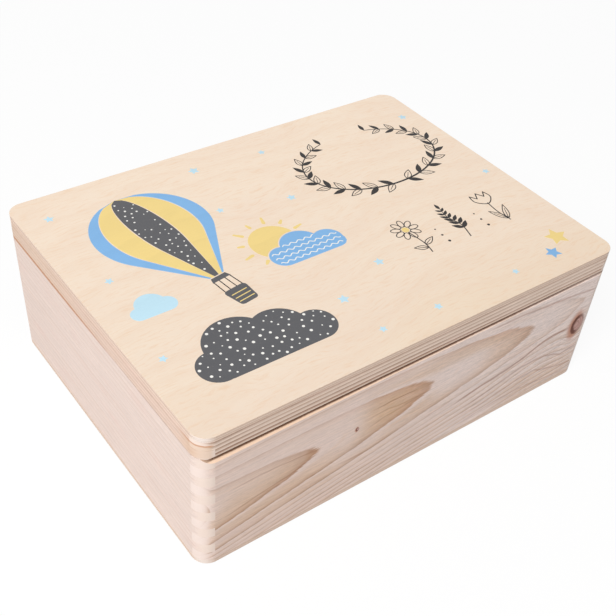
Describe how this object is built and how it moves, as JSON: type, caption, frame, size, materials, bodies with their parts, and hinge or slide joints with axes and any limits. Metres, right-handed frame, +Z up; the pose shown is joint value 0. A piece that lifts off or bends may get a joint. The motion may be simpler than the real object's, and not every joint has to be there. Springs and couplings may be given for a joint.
{
  "type": "keepsake box",
  "caption": "Wooden keepsake box with finger-jointed corners and a plywood-topped lid that swings open on hinges at the back.",
  "frame": {"origin": "centre of the underside of the case, on the surface that the box stands on", "axes": "+X along the long front towards the right end as seen from the front, +Y towards the hinged back, +Z up"},
  "size_m": [0.4, 0.3051, 0.1365],
  "materials": {
    "pine": "sanded bare pine with tan growth rings and a knot",
    "pine_pale": "sanded bare pale pine, almost plain",
    "birch_plywood": "sanded bare birch plywood, layered at its edges",
    "hinge_steel": "zinc-plated steel, satin",
    "screw_steel": "zinc-plated steel, satin"
  },
  "bodies": {
    "case": {"bottom_panel": "birch_plywood", "front_board": "pine", "back_board": "pine", "left_board": "pine_pale", "right_board": "pine_pale", "left_hinge_case_leaf": "hinge_steel", "left_hinge_pin": "hinge_steel", "left_hinge_case_screws": "screw_steel", "right_hinge_case_leaf": "hinge_steel", "right_hinge_pin": "hinge_steel", "right_hinge_case_screws": "screw_steel"},
    "lid": {"lid_front_rail": "pine", "lid_back_rail": "pine", "lid_left_rail": "pine_pale", "lid_right_rail": "pine_pale", "lid_panel": "birch_plywood", "left_hinge_lid_leaf": "hinge_steel", "left_hinge_lid_screws": "screw_steel", "right_hinge_lid_leaf": "hinge_steel", "right_hinge_lid_screws": "screw_steel"}
  },
  "joints": [
    {"name": "lid_hinge", "type": "hinge", "parent": "case", "child": "lid", "pos_m": [0, 0.1527, 0.11575], "axis": [-1, 0, 0], "range_deg": [0, 190]}
  ]
}
